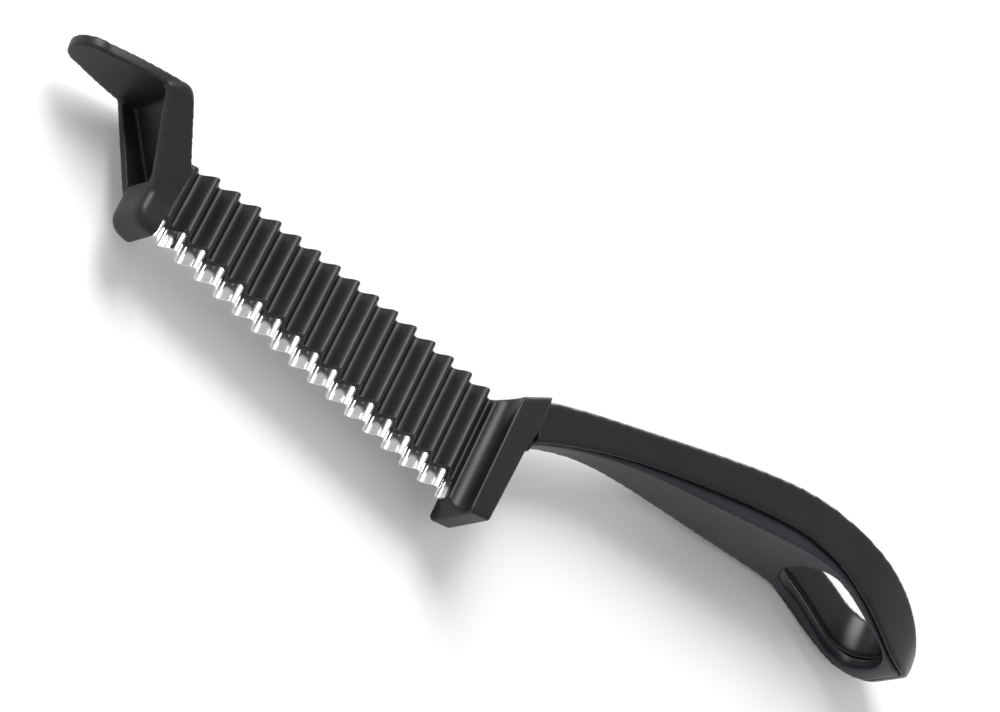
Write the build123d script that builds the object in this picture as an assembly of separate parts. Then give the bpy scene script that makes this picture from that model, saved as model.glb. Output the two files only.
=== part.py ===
from build123d import *
import math
import os

# A two-handed hand tool: a wavy steel strip held edge-out in a ribbed body, with a front
# finger rest at one end and a bowed handle with a hanging loop at the other.
# Working frame: +X from the front rest to the handle, +Y from the steel edge to the spine,
# +Z out of the tool's side. The tool is symmetric about Z = 0 here and is laid on its side
# at the end, with the origin in the middle of its footprint.

# ---------------------------------------------------------------- driving sizes, in mm
TOOL_WIDTH = 30.0            # widest side-to-side size, at the paddle
RIB_PITCH = 7.0
RIB_COUNT = 15
WAVE_HEIGHT = 3.9            # crest to valley of the corrugation
WALL_THICK = 1.65            # moulded wall outside the strip
STRIP_THICK = 0.8
STRIP_SHOWS = 5.8            # how far the strip stands out of the ribbed walls
STRIP_GRIP = 9.0             # how deep the strip sits between the walls
FOOT_Y = 3.6                 # lower edge of the ribbed walls
SPINE_FRONT = 17.2           # height of the walls over FOOT_Y at the first rib
SPINE_MIDDLE = 23.0
SPINE_REAR = 25.9            # and at the last rib
FIT_GAP = 0.10               # all round the strip, the pins and the handle insert

FRONT_OVERHANG = 9.0         # first rib crest to the front block
REAR_OVERHANG = 4.5          # last rib crest to the head block
NOSE_LENGTH = 7.8
NOSE_WIDTH = 13.0
NOSE_DROP = 9.4              # how far the nose reaches below FOOT_Y
NOSE_ROUND = 4.5             # lower front corner
NOSE_EDGE_ROUND = 2.5        # its other long edges
NOSE_RISE = 2.0              # how far the nose reaches above FOOT_Y
NOSE_WALL = 2.0              # moulding in front of the strip
REST_LEAN = 35.0             # lean of the stem, in degrees from the rib direction
STEM_LENGTH = 29.0
STEM_WALL = 3.2
STEM_RIM_DEPTH = 3.0
STEM_RIM_THICK = 2.2
STEM_SETBACK = 1.7           # stem's back from the walls' end, at its foot
STEM_FOOT_DROP = 5.4         # its foot below the spine at the first rib
STEM_BURIED = 10.0           # part of STEM_LENGTH below the foot
HOLLOW_END = 6.0             # solid stem left under the hollow
WEB_RISE = 4.0               # lower edge of the web over FOOT_Y
REST_WIDTH = 22.5            # at the corner of stem and tab
TAB_LENGTH = 30.0
TAB_DROP = 9.5               # slope of the tab, in degrees
TAB_TIP_WIDTH = 13.0
TAB_SWELL = 0.8              # outward bow of the tab's sides
CORNER_ROUND = 3.5           # outside corner of stem and tab

HEAD_LENGTH = 14.0
HEAD_WIDTH = 17.0
HEAD_RISE = 8.9              # how far its top climbs towards the handle
HEAD_DROP = 8.6              # how far the head block reaches below FOOT_Y
HEAD_COVE = 4.0              # radius of the hollow between the last rib and the block
HEAD_ROUND = 0.9
HEAD_WALL = 4.6              # moulding behind the strip
HEAD_TOE = (4.5, 2.4)        # slope cut off its lower front corner: length, height
HEAD_PEAK = 2.0              # its highest point from its back
HEAD_BACK = (0.8, 2.6, 3.6)  # its back face at the top, the middle and the heel
HEAD_BACK_MIDDLE = 8.0       # that middle point below the last rib's top
HEAD_HEEL = 1.8              # and the heel over its lower edge

HANDLE_LENGTH = 148.0        # head block to the far end of the loop
NECK_WIDTH = 10.0
NECK_FLARE = 0.4             # half of what the neck gains before the paddle starts
NECK_STEP = 0.5              # top of the neck below the head block's peak
NECK_BURIED = 3.0            # handle hidden inside the head block
TONGUE_LENGTH = 9.0
TONGUE_BASE = 2.0            # part of the tongue inside the handle
TONGUE_TOP = 6.0             # below the top of the neck
TONGUE_HEIGHT = 8.0
TONGUE_WIDTH = 6.0
INSERT_THICK = 3.6           # underside insert, round the loop as well
INSERT_PROUD = 3.8           # at its middle, fading to flush at both ends
SWELL_END = 0.72             # where the swelling ends, as a share of the handle's length
INSERT_STEP = 0.4            # least step down from the shell to the insert
INSERT_INSET = 1.8           # shell lip left beside the insert
LOOP_LENGTH = 39.0
LOOP_WIDTH = 20.5
LOOP_PLACE = 0.79            # its middle, as a share of the handle's length

PIN_DIAMETER = 3.0
PIN_LENGTH = 11.0
LOW_PIN_DROP = 1.5           # rear pins: one below FOOT_Y
HIGH_PIN_INSET = 3.0         # and one inside the strip's upper edge

# ---------------------------------------------------------------- places worked out from them
AMPLITUDE = WAVE_HEIGHT / 2
LAST_CREST = RIB_PITCH * (RIB_COUNT - 1)
WALL_X0 = -FRONT_OVERHANG
WALL_X1 = LAST_CREST + REAR_OVERHANG
STRIP_X0 = WALL_X0 - NOSE_LENGTH + NOSE_WALL
STRIP_X1 = WALL_X1 + HEAD_LENGTH - HEAD_WALL
HALF_BODY = STRIP_THICK / 2 + WALL_THICK
DEEP = 2 * TOOL_WIDTH        # longer than any cut needs


def wave(x):
    """Height of the middle of the corrugation, fading to flat past the end ribs."""
    past = max(-RIB_PITCH / 2 - x, x - LAST_CREST - RIB_PITCH / 2, 0.0)
    fade = max(0.0, 1.0 - past / (RIB_PITCH / 2))
    return AMPLITUDE * fade * math.cos(2 * math.pi * x / RIB_PITCH)


def wavy_sheet(x0, x1, low, high, y0, y1):
    """Sheet between two offsets from the corrugation, from y0 up to y1."""
    step = RIB_PITCH / 8
    inside = range(math.ceil(x0 / step + 0.2), math.floor(x1 / step - 0.2) + 1)
    xs = [x0, *[step * i for i in inside], x1]
    lower = Spline(*[(x, y0, wave(x) + low) for x in xs])
    upper = Spline(*[(x, y0, wave(x) + high) for x in xs])
    ends = [Line(lower @ 0, upper @ 0), Line(lower @ 1, upper @ 1)]
    face = make_face([lower, upper, *ends])
    return extrude(face, amount=y1 - y0, dir=(0, 1, 0))


def side_plate(edges, width):
    """Closed XY outline given a width across the tool."""
    return extrude(make_face(edges), amount=width / 2, both=True)


def one(shape):
    solids = shape.solids()
    return max(solids, key=lambda s: s.volume)


# ---------------------------------------------------------------- ribbed walls and strip
def spine_y(x):
    """Top of the ribbed walls: a gentle bow through three heights."""
    u = x / LAST_CREST
    front, middle, rear = SPINE_FRONT, SPINE_MIDDLE, SPINE_REAR
    bow = front * (1 - u) * (1 - 2 * u) + 4 * middle * u * (1 - u) + rear * u * (2 * u - 1)
    return FOOT_Y + bow


def wall_outline(x0, x1, y0):
    middle = (x0 + x1) / 2
    top = ThreePointArc((x0, spine_y(x0)), (middle, spine_y(middle)), (x1, spine_y(x1)))
    return [top, Polyline((x1, spine_y(x1)), (x1, y0), (x0, y0), (x0, spine_y(x0)))]


STRIP_Y0 = FOOT_Y - STRIP_SHOWS
STRIP_Y1 = FOOT_Y + STRIP_GRIP


def strip_space(gap):
    half = STRIP_THICK / 2 + gap
    return wavy_sheet(STRIP_X0 - gap, STRIP_X1 + gap, -half, half, STRIP_Y0 - gap, STRIP_Y1 + gap)


def ribbed_wall(side):
    low, high = (0.0, HALF_BODY) if side > 0 else (-HALF_BODY, 0.0)
    clear = STRIP_THICK / 2 + FIT_GAP
    beside = (clear, high) if side > 0 else (low, -clear)
    split = STRIP_Y1 + FIT_GAP
    upper = wavy_sheet(WALL_X0, WALL_X1, low, high, split, spine_y(LAST_CREST) + DEEP)
    upper = upper & side_plate(wall_outline(WALL_X0, WALL_X1, FOOT_Y), TOOL_WIDTH)
    return one(upper + wavy_sheet(WALL_X0, WALL_X1, *beside, FOOT_Y, split))


# ---------------------------------------------------------------- pins through the strip's ends
PIN_PLACES = [
    (WALL_X0 - NOSE_LENGTH / 2, FOOT_Y),
    (WALL_X1 + HEAD_COVE + PIN_DIAMETER, FOOT_Y - LOW_PIN_DROP),
    (WALL_X1 + HEAD_COVE + PIN_DIAMETER, FOOT_Y + STRIP_GRIP - HIGH_PIN_INSET),
]


def pins(gap, length):
    """Plain pins across the tool, each a cylinder about the strip's middle."""
    radius = PIN_DIAMETER / 2 + gap
    return [Pos(x, y, 0) * Cylinder(radius, length) for x, y in PIN_PLACES]


# ---------------------------------------------------------------- front rest
LEAN = math.radians(REST_LEAN)
SLOPE = math.radians(TAB_DROP)
DOWN_STEM = Vector(math.sin(LEAN), -math.cos(LEAN))
INTO_STEM = Vector(-math.cos(LEAN), -math.sin(LEAN))
TAB_DIR = Vector(-math.cos(SLOPE), -math.sin(SLOPE))
STEM_FOOT = Vector(WALL_X0 - STEM_SETBACK, spine_y(0) - STEM_FOOT_DROP)
REST_CORNER = STEM_FOOT - DOWN_STEM * (STEM_LENGTH - STEM_BURIED)
NOSE_X0 = WALL_X0 - NOSE_LENGTH
NOSE_Y0 = FOOT_Y - NOSE_DROP
NOSE_Y1 = FOOT_Y + NOSE_RISE


def across_stem(half_foot, half_full):
    """Everything inside the stem's outline seen along the tool: narrow foot, wide head."""
    points = [(NOSE_Y0, half_foot), (FOOT_Y, half_foot), (REST_CORNER.Y - STEM_RIM_DEPTH, half_full)]
    points.append((REST_CORNER.Y + DEEP, half_full))
    near = [(-2 * DEEP, y, w) for y, w in points]
    far = [(-2 * DEEP, y, -w) for y, w in reversed(points)]
    return extrude(make_face(Polyline(*near, *far, close=True)), amount=4 * DEEP, dir=(1, 0, 0))


def stem():
    """Leaning channel: a back plate with a rim along each side, open to the front."""
    rim = STEM_WALL + STEM_RIM_DEPTH
    inner = REST_CORNER + TAB_DIR * rim
    outline = Polyline(
        (WALL_X0, NOSE_Y0 + NOSE_ROUND),
        (WALL_X0, STEM_FOOT.Y - 1.0),
        (STEM_FOOT.X, STEM_FOOT.Y),
        (REST_CORNER.X, REST_CORNER.Y),
        (inner.X, inner.Y - STEM_WALL),
        (NOSE_X0, NOSE_Y1),
        (NOSE_X0 + NOSE_ROUND, NOSE_Y0 + NOSE_ROUND),
        close=True,
    )
    solid = side_plate([outline], TOOL_WIDTH) & across_stem(NOSE_WIDTH / 2, REST_WIDTH / 2)
    start = REST_CORNER + INTO_STEM * STEM_WALL - DOWN_STEM * STEM_LENGTH
    end = REST_CORNER + INTO_STEM * STEM_WALL + DOWN_STEM * (STEM_LENGTH - HOLLOW_END)
    corners = [start, end, end + INTO_STEM * STEM_LENGTH, start + INTO_STEM * STEM_LENGTH]
    slab = side_plate([Polyline(*[(c.X, c.Y) for c in corners], close=True)], DEEP)
    rims = STEM_RIM_THICK
    return solid - (slab & across_stem(NOSE_WIDTH / 2 - rims, REST_WIDTH / 2 - rims))


def web():
    """Thin rib that joins the stem's back to the ribbed walls' end."""
    top = spine_y(WALL_X0)
    lift = (top - STEM_FOOT.Y) * math.tan(LEAN)
    edge = Polyline(
        (WALL_X0, FOOT_Y + WEB_RISE),
        (WALL_X0, top),
        (STEM_FOOT.X - lift, top),
        (STEM_FOOT.X - 1.0, FOOT_Y + WEB_RISE),
        close=True,
    )
    return side_plate([edge], 2 * HALF_BODY)


def tab_plate():
    """Flat tab with a rounded tip, at full width where it meets the stem."""
    normal = (TAB_DIR.Y, -TAB_DIR.X, 0)
    across = Plane(
        origin=(REST_CORNER.X, REST_CORNER.Y, 0), x_dir=(TAB_DIR.X, TAB_DIR.Y, 0), z_dir=normal
    )
    tip, full = TAB_TIP_WIDTH / 2, REST_WIDTH / 2
    straight = TAB_LENGTH - tip
    swell = (full + tip) / 2 + TAB_SWELL
    with_tip = [
        Line((0, -full), (0, full)),
        Spline((0, full), (straight / 2, swell), (straight, tip)),
        ThreePointArc((straight, tip), (TAB_LENGTH, 0), (straight, -tip)),
        Spline((straight, -tip), (straight / 2, -swell), (0, -full)),
    ]
    return extrude(across * make_face(with_tip), amount=-STEM_WALL)


def nose_block():
    """Rounded block that closes the strip's front end."""
    middle = Pos((NOSE_X0 + WALL_X0) / 2, (NOSE_Y0 + NOSE_Y1) / 2, 0)
    block = middle * Box(NOSE_LENGTH, NOSE_Y1 - NOSE_Y0, NOSE_WIDTH)
    corner = block.edges().filter_by(Axis.Z).group_by(Axis.Y)[0].group_by(Axis.X)[0]
    block = fillet(corner, NOSE_ROUND)
    front = [f for f in block.faces() if f.center().X < WALL_X0 - 0.1]
    sides = [f for f in front if abs(f.center().Z) > NOSE_WIDTH / 2 - 0.1]
    long_edges = [e for f in sides for e in f.edges() if e.center().X < WALL_X0 - 0.1]
    return fillet(long_edges, NOSE_EDGE_ROUND)


def front_rest():
    """Nose block, leaning stem with a hollow front, and the tab over it."""
    rest = stem() + tab_plate() + nose_block() + web()
    corner = [
        e
        for e in rest.edges().filter_by(Axis.Z)
        if abs(e.center().X - REST_CORNER.X) < 0.1 and abs(e.center().Y - REST_CORNER.Y) < 0.1
    ]
    rest = fillet(corner, CORNER_ROUND)
    rest = rest - strip_space(FIT_GAP)
    for pin in pins(FIT_GAP, PIN_LENGTH):
        rest = rest - pin
    return one(rest)


# ---------------------------------------------------------------- head block
HEAD_X0 = WALL_X1
HEAD_Y0 = FOOT_Y - HEAD_DROP
HEAD_TOP = spine_y(HEAD_X0)


def head_block():
    """Block behind the last rib, with a hollow beside the rib and a step for the neck."""
    x0, x1 = HEAD_X0, HEAD_X0 + HEAD_LENGTH
    toe_length, toe_height = HEAD_TOE
    top_back, middle_back, heel_back = HEAD_BACK
    outline = Polyline(
        (x0, HEAD_Y0 + toe_height),
        (x0, HEAD_TOP),
        (x1 - HEAD_PEAK, HEAD_TOP + HEAD_RISE),
        (x1 - top_back, HEAD_TOP),
        (x1 - middle_back, HEAD_TOP - HEAD_BACK_MIDDLE),
        (x1 - heel_back, HEAD_Y0 + HEAD_HEEL),
        (x0 + toe_length, HEAD_Y0),
        close=True,
    )
    block = side_plate([outline], HEAD_WIDTH)
    sides = [e for e in block.edges() if abs(e.center().Z) > HEAD_WIDTH / 2 - 0.1]
    block = fillet(sides, HEAD_ROUND)
    for side in (1, -1):
        cove = Cylinder(HEAD_COVE, 4 * DEEP, rotation=(90, 0, 0))
        block = block - Pos(x0, 0, side * (HALF_BODY + HEAD_COVE)) * cove
    block = block - strip_space(FIT_GAP)
    for pin in pins(FIT_GAP, PIN_LENGTH):
        block = block - pin
    return one(block - neck_tongue(FIT_GAP))


# ---------------------------------------------------------------- handle
NECK_X = HEAD_X0 + HEAD_LENGTH
NECK_TOP = HEAD_TOP + HEAD_RISE - NECK_STEP


def along(u):
    return NECK_X - NECK_BURIED + (HANDLE_LENGTH + NECK_BURIED) * u


# (place along the handle, height over the neck's top): the spine, the lower edge, the end
TOP_LINE = [(0.0, -0.4), (0.1, 6.9), (0.21, 13.3), (0.42, 25.0), (0.56, 31.2), (0.67, 33.3)]
TOP_LINE += [(0.79, 32.6), (0.90, 28.2), (0.965, 22.8)]
LOW_LINE = [(0.03, -11.5), (0.24, 4.6), (0.375, 11.4), (0.52, 17.6), (0.64, 20.2)]
LOW_LINE += [(0.74, 18.6), (0.81, 15.6), (0.87, 12.6), (0.92, 11.4), (0.955, 12.2)]
END_LINE = [(0.965, 22.8), (0.989, 18.4), (0.982, 14.8), (0.955, 12.2)]
# (place along the handle, half width as a share of the widest). The side is cut flat where
# the share passes 1, which leaves the land the tool lies on.
HALF_WIDTHS = [(0.24, 0.56), (0.375, 0.73), (0.52, 0.90), (0.62, 1.0), (0.70, 1.02)]
HALF_WIDTHS += [(0.79, 0.985), (0.87, 0.86), (0.93, 0.68), (0.975, 0.42)]


def handle_point(u, rise):
    return (along(u), NECK_TOP + rise)


def handle_side(width):
    """Side outline of the handle, given a width across the tool."""
    top = Spline(*[handle_point(u, r) for u, r in TOP_LINE])
    end = Spline(*[handle_point(u, r) for u, r in END_LINE])
    low = Spline(*[handle_point(u, r) for u, r in LOW_LINE])
    neck = Line(top @ 0, low @ 0)
    return side_plate([top, end, low, neck], width)


def handle_plan(inset, x_start):
    """Outline of the handle seen along its height: narrow neck, wide paddle, round end."""
    full = TOOL_WIDTH / 2
    pairs = [(x_start, NECK_WIDTH / 2), (along(0.08), NECK_WIDTH / 2 + NECK_FLARE)]
    pairs += [(along(u), full * share) for u, share in HALF_WIDTHS]
    pairs = [(x, w - inset) for x, w in pairs if w > inset + 0.5]
    tip = along(1.0) - inset
    near = [(x, -DEEP, w) for x, w in pairs]
    far = [(x, -DEEP, -w) for x, w in reversed(pairs)]
    round_the_end = Spline(*near, (tip, -DEEP, 0), *far)
    close = Line(near[0], far[-1])
    return extrude(make_face([round_the_end, close]), amount=6 * DEEP, dir=(0, 1, 0))


def neck_tongue(gap):
    """Tongue that carries the handle inside the head block."""
    x0, x1 = NECK_X - TONGUE_LENGTH - gap, NECK_X + TONGUE_BASE
    y0, y1 = NECK_TOP - TONGUE_TOP - TONGUE_HEIGHT - gap, NECK_TOP - TONGUE_TOP + gap
    width = TONGUE_WIDTH + 2 * gap
    return Pos((x0 + x1) / 2, (y0 + y1) / 2, 0) * Box(x1 - x0, y1 - y0, width)


def loop_slot():
    """Round-ended slot through the paddle, the hanging loop."""
    slot = SlotOverall(LOOP_LENGTH, LOOP_WIDTH)
    return Pos(along(LOOP_PLACE), 0, 0) * extrude(Plane.XZ * slot, amount=4 * DEEP, both=True)


def insert_space(gap, below):
    """Insert under the handle: set into the shell, swelling below it in the middle."""
    start = LOW_LINE[0][0]

    def swell(u):
        share = min(1.0, (u - start) / (SWELL_END - start))
        return INSERT_PROUD * math.sin(math.pi * share**2)

    low = [handle_point(u, r - swell(u) - below) for u, r in LOW_LINE]
    top = [handle_point(u, r + INSERT_THICK + gap) for u, r in LOW_LINE]
    upper, lower = Spline(*top), Spline(*low)
    ends = [Line(upper @ 0, lower @ 0), Line(upper @ 1, lower @ 1)]
    return side_plate([upper, lower, *ends], TOOL_WIDTH) & handle_plan(INSERT_INSET - gap, along(0.0))


def handle_insert():
    return one(insert_space(0.0, INSERT_STEP) - loop_slot())


def handle_shell(head):
    body = handle_side(TOOL_WIDTH) & handle_plan(0.0, along(0.0) - NECK_BURIED)
    body = body - head - insert_space(FIT_GAP, 2 * INSERT_STEP) - loop_slot()
    return one(body + (neck_tongue(0.0) - handle_side(TOOL_WIDTH)))


# ---------------------------------------------------------------- assembly
def assembly():
    head = head_block()
    strip = wavy_sheet(
        STRIP_X0, STRIP_X1, -STRIP_THICK / 2, STRIP_THICK / 2, STRIP_Y0, STRIP_Y1
    )
    for pin in pins(FIT_GAP, PIN_LENGTH):
        strip = strip - pin
    return {
        "steel_strip": one(strip),
        "ribbed_wall_near": ribbed_wall(1),
        "ribbed_wall_far": ribbed_wall(-1),
        "front_rest": front_rest(),
        "head_block": head,
        "handle_shell": handle_shell(head),
        "handle_insert": handle_insert(),
        "strip_pins": Compound(children=pins(0.0, PIN_LENGTH)),
    }


pieces = assembly()
box = Compound(children=[Compound(p.wrapped) for p in pieces.values()]).bounding_box()
to_base = Pos(-box.center().X, -box.center().Y, -box.min.Z)
os.makedirs("parts", exist_ok=True)
for name, piece in pieces.items():
    export_step(to_base * piece, f"parts/{name}.step")
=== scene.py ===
import bpy
from mathutils import Matrix, Vector


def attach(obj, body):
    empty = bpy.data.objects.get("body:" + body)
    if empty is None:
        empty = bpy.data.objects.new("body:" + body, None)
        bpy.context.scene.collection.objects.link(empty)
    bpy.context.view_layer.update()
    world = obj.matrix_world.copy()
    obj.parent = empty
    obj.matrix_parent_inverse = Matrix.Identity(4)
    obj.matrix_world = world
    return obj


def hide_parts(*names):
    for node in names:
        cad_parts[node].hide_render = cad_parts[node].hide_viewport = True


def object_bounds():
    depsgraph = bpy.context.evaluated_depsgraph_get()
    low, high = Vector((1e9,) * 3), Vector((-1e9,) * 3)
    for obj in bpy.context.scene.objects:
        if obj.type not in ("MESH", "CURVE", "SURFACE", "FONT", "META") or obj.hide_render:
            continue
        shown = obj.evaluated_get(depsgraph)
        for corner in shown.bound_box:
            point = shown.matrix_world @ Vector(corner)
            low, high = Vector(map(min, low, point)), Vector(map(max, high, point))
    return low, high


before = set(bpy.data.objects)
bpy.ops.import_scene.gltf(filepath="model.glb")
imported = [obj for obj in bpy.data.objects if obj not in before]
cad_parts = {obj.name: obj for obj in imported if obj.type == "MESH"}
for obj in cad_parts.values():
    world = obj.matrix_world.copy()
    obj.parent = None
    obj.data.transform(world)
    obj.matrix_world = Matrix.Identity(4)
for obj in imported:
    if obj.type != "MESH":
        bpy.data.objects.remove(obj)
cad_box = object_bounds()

MM = 0.001
BODY = "root"

# The lowest corner and the middle of the tool's box, from the frame.
LOW, HIGH = [Vector(c) for c in cad_box]
MID = (LOW + HIGH) / 2


# ---------------------------------------------------------------- material helpers
def new_material(name):
    mat = bpy.data.materials.new(name)
    mat.use_nodes = True
    tree = mat.node_tree
    return mat, tree, tree.nodes["Principled BSDF"]


def object_coords(tree, scale=(1, 1, 1)):
    """Object coordinates stretched along each axis: the frame's own metres."""
    coords = tree.nodes.new("ShaderNodeTexCoord")
    mapping = tree.nodes.new("ShaderNodeMapping")
    mapping.inputs["Scale"].default_value = scale
    tree.links.new(coords.outputs["Object"], mapping.inputs["Vector"])
    return mapping.outputs["Vector"]


def noise(tree, vector, scale, detail=3.0, roughness=0.5):
    node = tree.nodes.new("ShaderNodeTexNoise")
    node.inputs["Scale"].default_value = scale
    node.inputs["Detail"].default_value = detail
    node.inputs["Roughness"].default_value = roughness
    tree.links.new(vector, node.inputs["Vector"])
    return node.outputs["Fac"]


def ramp(tree, fac, stops):
    node = tree.nodes.new("ShaderNodeValToRGB")
    elements = node.color_ramp.elements
    while len(elements) < len(stops):
        elements.new(0.5)
    for element, (place, colour) in zip(elements, stops):
        element.position = place
        element.color = (*colour, 1.0)
    tree.links.new(fac, node.inputs["Fac"])
    return node.outputs["Color"]


def span(tree, value, low, high):
    """Map a 0..1 value to the range low..high."""
    node = tree.nodes.new("ShaderNodeMapRange")
    node.inputs["To Min"].default_value = low
    node.inputs["To Max"].default_value = high
    tree.links.new(value, node.inputs["Value"])
    return node.outputs["Result"]


def bump(tree, height, distance, strength, normal=None):
    node = tree.nodes.new("ShaderNodeBump")
    node.inputs["Distance"].default_value = distance
    node.inputs["Strength"].default_value = strength
    tree.links.new(height, node.inputs["Height"])
    if normal is not None:
        tree.links.new(normal, node.inputs["Normal"])
    return node.outputs["Normal"]


def painted_edge_highlight(tree, low, high):
    """Lighter colour on sharp convex edges, from the mesh's own curvature: a painted highlight."""
    geometry = tree.nodes.new("ShaderNodeNewGeometry")
    node = tree.nodes.new("ShaderNodeMapRange")
    node.inputs["From Min"].default_value = low
    node.inputs["From Max"].default_value = high
    tree.links.new(geometry.outputs["Pointiness"], node.inputs["Value"])
    return node.outputs["Result"]


def mix(tree, fac, first, second):
    node = tree.nodes.new("ShaderNodeMix")
    node.data_type = "RGBA"
    tree.links.new(fac, node.inputs["Factor"])
    for socket, value in ((node.inputs["A"], first), (node.inputs["B"], second)):
        if isinstance(value, tuple):
            socket.default_value = (*value, 1.0)
        else:
            tree.links.new(value, socket)
    return node.outputs["Result"]


# ---------------------------------------------------------------- materials
# How fine each pattern is, in repeats per metre or so, and how deep its relief is.
CLOUD_SCALE = 60
SMUDGE_SCALE = 140
GRAIN_SCALE = 2600
GRAIN_DEPTH = 0.04 * MM
SINK_SCALE = 45
SINK_DEPTH = 0.4 * MM
SINK_STRENGTH = 0.12
ROUGH_SPREAD = 0.07          # either way, from the smudges
EDGE_FROM = 0.53             # curvature at which the painted edge highlight starts
EDGE_TO = 0.62
STREAK_SCALE = 2200
STREAK_DEPTH = 0.02 * MM
STREAK_STRENGTH = 0.35
DULL_SCALE = 120
DULL_DEPTH = 0.08 * MM
DULL_STRENGTH = 0.15


def moulded_plastic(name, dark, light, rough, grain, coat=0.0, edge_highlight=None):
    """Moulded black plastic: fine spark-eroded grain, soft flow clouds and a painted highlight on
    sharp convex edges.
    """
    mat, tree, shader = new_material(name)
    still = object_coords(tree)
    flow = object_coords(tree, (0.6, 1.4, 1.4))
    cloud = noise(tree, flow, CLOUD_SCALE, detail=4)
    base = ramp(tree, cloud, [(0.32, dark), (0.68, light)])
    # Sharp convex edges get a lighter colour: a painted highlight.
    if edge_highlight:
        base = mix(tree, painted_edge_highlight(tree, EDGE_FROM, EDGE_TO), base, edge_highlight)
    tree.links.new(base, shader.inputs["Base Color"])
    smudge = noise(tree, still, SMUDGE_SCALE, detail=5, roughness=0.6)
    roughness = span(tree, smudge, rough - ROUGH_SPREAD, rough + ROUGH_SPREAD)
    tree.links.new(roughness, shader.inputs["Roughness"])
    fine = bump(tree, noise(tree, still, GRAIN_SCALE, detail=2), GRAIN_DEPTH, grain)
    hollows = noise(tree, flow, SINK_SCALE, detail=1)
    sink = bump(tree, hollows, SINK_DEPTH, SINK_STRENGTH, fine)
    tree.links.new(sink, shader.inputs["Normal"])
    shader.inputs["IOR"].default_value = 1.5
    shader.inputs["Specular IOR Level"].default_value = 0.34
    shader.inputs["Coat Weight"].default_value = coat
    shader.inputs["Coat Roughness"].default_value = 0.28
    return mat


def polished_steel(name):
    """Rolled and polished strip: streaks across the wave, fine scratches, a few dull spots."""
    mat, tree, shader = new_material(name)
    streaks = noise(tree, object_coords(tree, (1.0, 0.03, 1.0)), STREAK_SCALE, detail=3)
    still = object_coords(tree)
    dull = noise(tree, still, DULL_SCALE, detail=4)
    base = ramp(tree, dull, [(0.35, (0.80, 0.80, 0.79)), (0.65, (0.93, 0.93, 0.92))])
    tree.links.new(base, shader.inputs["Base Color"])
    shader.inputs["Metallic"].default_value = 1.0
    tree.links.new(span(tree, streaks, 0.12, 0.26), shader.inputs["Roughness"])
    lines = bump(tree, streaks, STREAK_DEPTH, STREAK_STRENGTH)
    relief = bump(tree, dull, DULL_DEPTH, DULL_STRENGTH, lines)
    tree.links.new(relief, shader.inputs["Normal"])
    return mat


BLACK = moulded_plastic(
    "satin_black",
    dark=(0.006, 0.0065, 0.008),
    light=(0.012, 0.013, 0.015),
    rough=0.40,
    grain=0.35,
    # Lighter colour painted on sharp convex edges as a highlight.
    edge_highlight=(0.03, 0.032, 0.036),
)
HANDLE_BLACK = moulded_plastic(
    "handle_black",
    dark=(0.004, 0.004, 0.005),
    light=(0.008, 0.008, 0.010),
    rough=0.34,
    grain=0.3,
    coat=0.1,
    # Lighter colour painted on sharp convex edges as a highlight.
    edge_highlight=(0.02, 0.021, 0.024),
)
# The insert is black plastic; its lighter, bluish colour is a painted reflection.
INSERT_BLACK_PAINTED_REFLECTION = moulded_plastic(
    "insert_black_painted_reflection",
    dark=(0.010, 0.011, 0.015),
    light=(0.018, 0.020, 0.027),
    rough=0.36,
    grain=0.2,
    coat=0.1,
)
STEEL = polished_steel("polished_steel")


# ---------------------------------------------------------------- moulded shapes
def finish_node(node, material):
    """Give a CAD node that stays as it is its material."""
    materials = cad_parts[node].data.materials
    materials.clear()
    materials.append(material)


def moulded_copy(node, voxel, rounds, material, slot):
    """Rounded copy of a CAD node: remeshed, then relaxed so that its edges get a moulded radius."""
    name = node + "_moulding"
    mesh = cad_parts[node].data.copy()
    mesh.name = name
    piece = bpy.data.objects.new(name, mesh)
    bpy.context.collection.objects.link(piece)
    remesh = piece.modifiers.new("remesh", "REMESH")
    remesh.mode = "VOXEL"
    remesh.voxel_size = voxel
    smooth = piece.modifiers.new("relax", "SMOOTH")
    smooth.factor = 0.5
    smooth.iterations = rounds
    depsgraph = bpy.context.evaluated_depsgraph_get()
    made = bpy.data.meshes.new_from_object(piece.evaluated_get(depsgraph))
    piece.modifiers.clear()
    piece.data = made
    made.materials.clear()
    made.materials.append(material)
    for polygon in made.polygons:
        polygon.use_smooth = True
    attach(piece, BODY)
    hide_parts(node)


# (CAD node, remesh size, rounds of relaxing, material, slot)
MOULDINGS = [
    ("front_rest", 0.4 * MM, 12, BLACK, "black_plastic"),
    ("head_block", 0.4 * MM, 6, BLACK, "black_plastic"),
    ("handle_shell", 0.5 * MM, 24, HANDLE_BLACK, "handle_plastic"),
    ("handle_insert", 0.5 * MM, 10, INSERT_BLACK_PAINTED_REFLECTION, "insert_plastic"),
]
for moulding in MOULDINGS:
    moulded_copy(*moulding)

for wall in ("ribbed_wall_near", "ribbed_wall_far"):
    finish_node(wall, BLACK)
for metal in ("steel_strip", "strip_pins"):
    finish_node(metal, STEEL)


# ---------------------------------------------------------------- camera, floor and light
TARGET = MID + Vector((-7.3, 8.4, 1.0)) * MM
RIGHT = Vector((0.6501, 0.3761, 0.6602))
UP = Vector((-0.6056, 0.7812, 0.1513))
DISTANCE = 1.2
LENS_MM = 165.5
SENSOR_MM = 36.0
FLOOR_HALF = 4.0
FLOOR_GAP = 0.2 * MM         # floor below the tool


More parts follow.
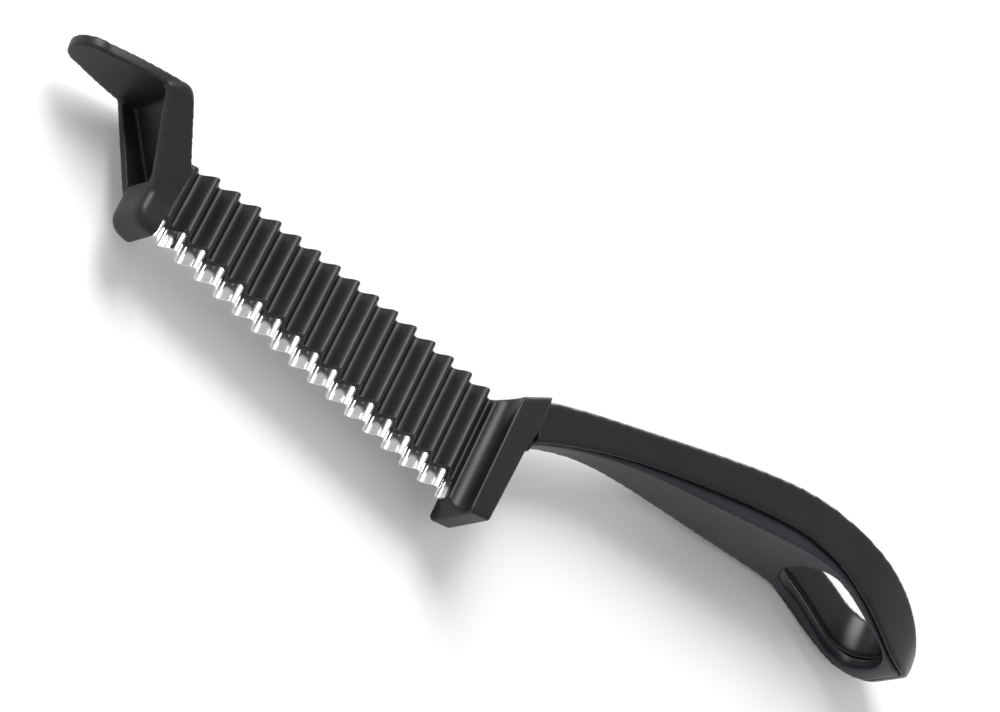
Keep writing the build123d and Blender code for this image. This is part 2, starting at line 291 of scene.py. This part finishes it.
def add_camera():
    """Camera above the tool's edge side, rolled so that the tool runs down the picture."""
    back = RIGHT.cross(UP).normalized()
    up = back.cross(RIGHT).normalized()
    data = bpy.data.cameras.new("camera")
    data.sensor_width = SENSOR_MM
    data.lens = LENS_MM
    data.clip_start = 0.01
    data.clip_end = 50.0
    camera = bpy.data.objects.new("camera", data)
    bpy.context.collection.objects.link(camera)
    turn = Matrix((RIGHT.normalized(), up, back)).transposed().to_4x4()
    camera.matrix_world = Matrix.Translation(TARGET + back * DISTANCE) @ turn
    bpy.context.scene.camera = camera


def add_floor():
    """Plain pale floor just below the tool."""
    mesh = bpy.data.meshes.new("floor")
    corners = [(-1, -1), (1, -1), (1, 1), (-1, 1)]
    height = LOW.z - FLOOR_GAP
    places = [(x * FLOOR_HALF, y * FLOOR_HALF, height) for x, y in corners]
    mesh.from_pydata(places, [], [(0, 1, 2, 3)])
    floor = bpy.data.objects.new("floor", mesh)
    bpy.context.collection.objects.link(floor)
    mat, _, shader = new_material("pale_floor")
    shader.inputs["Base Color"].default_value = (0.92, 0.92, 0.92, 1.0)
    shader.inputs["Roughness"].default_value = 0.9
    mesh.materials.append(mat)


def add_area_light(name, place, power, width, height):
    """White panel at a place measured from the tool's middle, turned towards it."""
    data = bpy.data.lights.new(name, "AREA")
    data.energy = power
    data.shape = "RECTANGLE"
    data.size = width
    data.size_y = height
    light = bpy.data.objects.new(name, data)
    bpy.context.collection.objects.link(light)
    light.location = MID + Vector(place)
    aim = MID - light.location
    light.rotation_euler = aim.to_track_quat("-Z", "Y").to_euler()


def add_world(strength):
    world = bpy.data.worlds.new("studio")
    world.use_nodes = True
    background = world.node_tree.nodes["Background"]
    background.inputs["Color"].default_value = (1.0, 1.0, 1.0, 1.0)
    background.inputs["Strength"].default_value = strength
    bpy.context.scene.world = world


add_camera()
add_floor()
add_area_light("key", (-0.66, 0.66, 0.90), 16, 0.6, 0.8)
add_area_light("spine_rim", (0.35, 1.25, 0.16), 8, 1.0, 0.2)
add_area_light("front_fill", (-0.6, -1.0, 0.7), 1.0, 0.9, 0.9)
add_world(0.6)
bpy.context.scene.view_settings.view_transform = "Standard"
